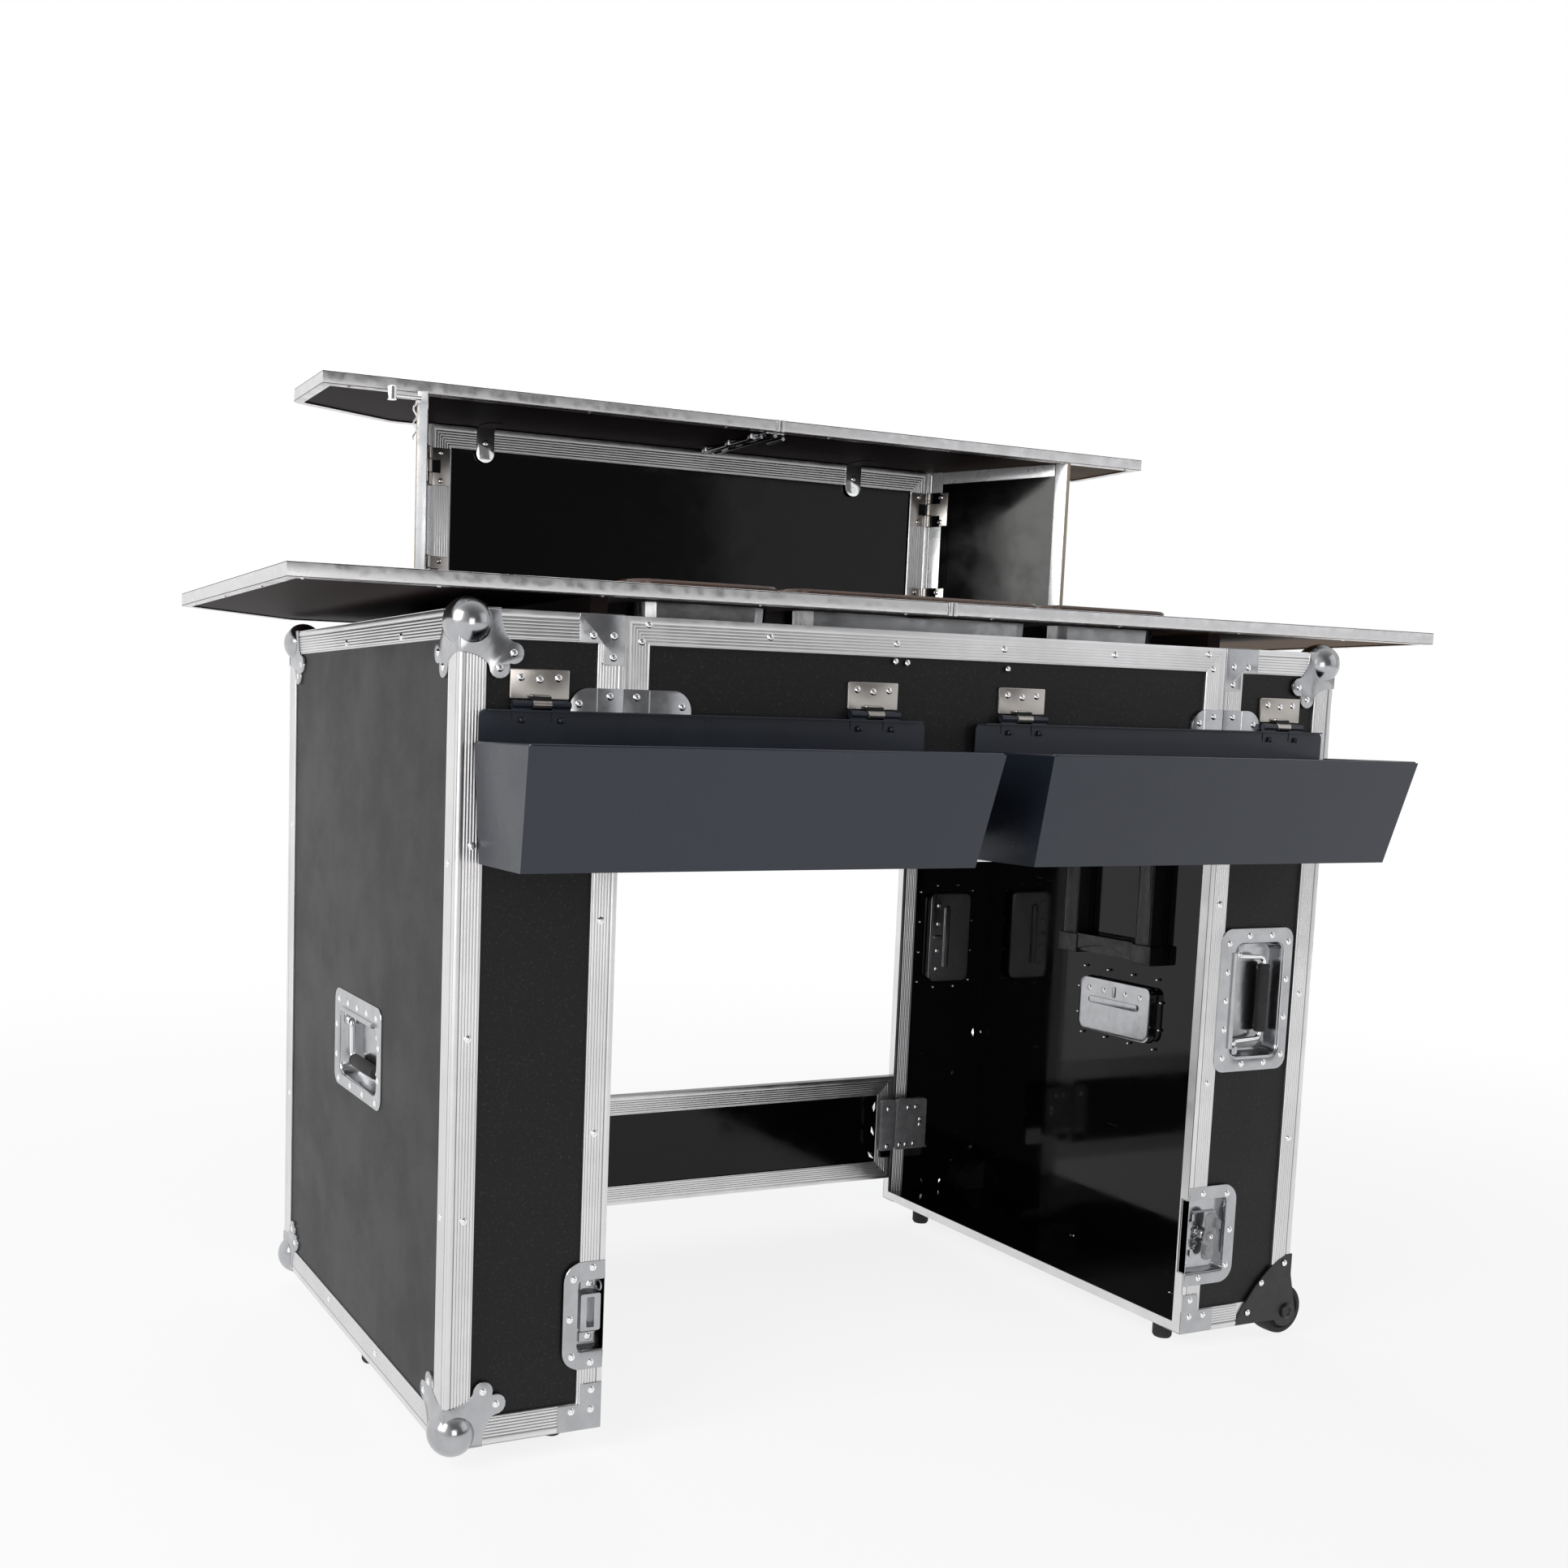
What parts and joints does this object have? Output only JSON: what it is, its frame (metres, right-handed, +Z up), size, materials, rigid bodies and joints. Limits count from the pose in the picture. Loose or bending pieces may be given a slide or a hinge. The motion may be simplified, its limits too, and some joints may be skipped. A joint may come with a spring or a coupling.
{
  "type": "folding bar flight case",
  "caption": "Flight case set up as a bar: open case halves as pedestals, hinged bottle trays, counter with lidded drop-in pans and a raised bar top on a folding riser.",
  "frame": {"origin": "on the floor, under the centre of the whole set-up bar", "axes": "+X along the bar to the bartender's right, +Y from the bartender towards the guests, +Z up"},
  "size_m": [1.555, 0.837, 1.2061],
  "materials": {
    "aluminium": "ribbed anodised extrusion, satin",
    "zinc": "bright zinc-plated pressed steel",
    "handle_grip": "black rubber grip moulded on a plated steel rod",
    "rubber": "matt black",
    "black_plastic": "black, moulded",
    "wheel_rubber": "dark tread on a plastic hub",
    "tray_coat": "dark blue-grey powder coat on sheet steel",
    "pan_steel": "bright stainless steel",
    "board": "laminated board with an aluminium edge",
    "gloss_panel": "glossy black laminate on plywood, aluminium edges",
    "laminate": "near-black laminate on birch plywood"
  },
  "bodies": {
    "bar": {"apron_frame": "aluminium", "apron_panel": "gloss_panel", "bar_top_left": "board", "bar_top_right": "board", "counter_left": "board", "counter_right": "board", "kick_board": "gloss_panel", "left_back_panel": "laminate", "left_ball_back_bottom": "zinc", "left_ball_back_top": "zinc", "left_ball_front_bottom": "zinc", "left_ball_front_top": "zinc", "left_bottom_panel": "laminate", "left_foot_back": "rubber", "left_foot_front": "rubber", "left_foot_outer": "rubber", "left_frame": "aluminium", "left_front_panel": "laminate", "left_handle_dish": "zinc", "left_latch_keeper": "zinc", "left_side_panel": "laminate", "left_top_panel": "laminate", "pan_left": "pan_steel", "pan_middle": "pan_steel", "pan_right": "pan_steel", "right_back_latch": "zinc", "right_back_panel": "laminate", "right_ball_back_top": "zinc", "right_ball_front_top": "zinc", "right_bottom_edge": "aluminium", "right_bottom_panel": "laminate", "right_foot_back": "rubber", "right_foot_front": "rubber", "right_frame": "aluminium", "right_front_panel": "laminate", "right_handle_dish": "zinc", "right_latch_base": "zinc", "right_side_panel": "laminate", "right_slim_back_dish": "zinc", "right_slim_front_dish": "zinc", "right_top_panel": "laminate", "right_trolley_sleeves": "black_plastic", "right_wheel_housing_back": "black_plastic", "right_wheel_housing_front": "black_plastic", "riser_middle": "gloss_panel"},
    "tray_left": {"left_tray": "tray_coat"},
    "tray_right": {"right_tray": "tray_coat"},
    "bail_left": {"left_handle_bail": "handle_grip"},
    "bail_right": {"right_handle_bail": "handle_grip"},
    "bail_front": {"right_slim_front_bail": "handle_grip"},
    "bail_back": {"right_slim_back_bail": "handle_grip"},
    "latch_wing": {"right_latch_wing": "zinc"},
    "wheel_front": {"right_wheel_front": "wheel_rubber"},
    "wheel_back": {"right_wheel_back": "wheel_rubber"},
    "trolley_handle": {"right_trolley_handle": "black_plastic"},
    "riser_wing_left": {"riser_wing_left": "gloss_panel"},
    "riser_wing_right": {"riser_wing_right": "gloss_panel"},
    "lid_left": {"lid_left": "board"},
    "lid_middle": {"lid_middle": "board"},
    "lid_right": {"lid_right": "board"}
  },
  "joints": [
    {"name": "tray_left_swing", "type": "hinge", "parent": "bar", "child": "tray_left", "pos_m": [-0.308, -0.27825, 0.813], "axis": [-1, 0, 0], "range_deg": [0, 95]},
    {"name": "tray_right_swing", "type": "hinge", "parent": "bar", "child": "tray_right", "pos_m": [0.308, -0.27825, 0.813], "axis": [-1, 0, 0], "range_deg": [0, 95]},
    {"name": "bail_left_swing", "type": "hinge", "parent": "bar", "child": "bail_left", "pos_m": [-0.5887, 0.0535, 0.4195], "axis": [0, 1, 0], "range_deg": [0, 90], "stiffness_Nm_per_rad": 0.06},
    {"name": "bail_right_swing", "type": "hinge", "parent": "bar", "child": "bail_right", "pos_m": [0.5887, 0.0535, 0.4195], "axis": [0, -1, 0], "range_deg": [0, 90], "stiffness_Nm_per_rad": 0.06},
    {"name": "bail_front_swing", "type": "hinge", "parent": "bar", "child": "bail_front", "pos_m": [0.4805, -0.2623, 0.4635], "axis": [0, 0, -1], "range_deg": [0, 90], "stiffness_Nm_per_rad": 0.06},
    {"name": "bail_back_swing", "type": "hinge", "parent": "bar", "child": "bail_back", "pos_m": [0.4805, 0.3693, 0.4635], "axis": [0, 0, 1], "range_deg": [0, 90], "stiffness_Nm_per_rad": 0.06},
    {"name": "latch_wing_turn", "type": "hinge", "parent": "bar", "child": "latch_wing", "pos_m": [0.451, -0.2715, 0.1565], "axis": [0, -1, 0], "range_deg": [0, 170]},
    {"name": "wheel_front_spin", "type": "hinge", "parent": "bar", "child": "wheel_front", "pos_m": [0.6, -0.2715, 0.038], "axis": [0, 1, 0], "continuous": true},
    {"name": "wheel_back_spin", "type": "hinge", "parent": "bar", "child": "wheel_back", "pos_m": [0.6, 0.3785, 0.038], "axis": [0, 1, 0], "continuous": true},
    {"name": "trolley_handle_lift", "type": "slide", "parent": "bar", "child": "trolley_handle", "axis": [0, 0, 1], "range_m": [0, 0.008]},
    {"name": "riser_wing_left_fold", "type": "hinge", "parent": "bar", "child": "riser_wing_left", "pos_m": [-0.432, 0.3015, 0.9428], "axis": [0, 0, 1], "range_deg": [-64, 104]},
    {"name": "riser_wing_right_fold", "type": "hinge", "parent": "bar", "child": "riser_wing_right", "pos_m": [0.381, 0.3015, 0.9428], "axis": [0, 0, -1], "range_deg": [-54, 113]},
    {"name": "lid_left_lift", "type": "slide", "parent": "bar", "child": "lid_left", "axis": [0, 0, 1], "range_m": [0, 0.04]},
    {"name": "lid_middle_lift", "type": "slide", "parent": "bar", "child": "lid_middle", "axis": [0, 0, 1], "range_m": [0, 0.04]},
    {"name": "lid_right_lift", "type": "slide", "parent": "bar", "child": "lid_right", "axis": [0, 0, 1], "range_m": [0, 0.04]}
  ]
}
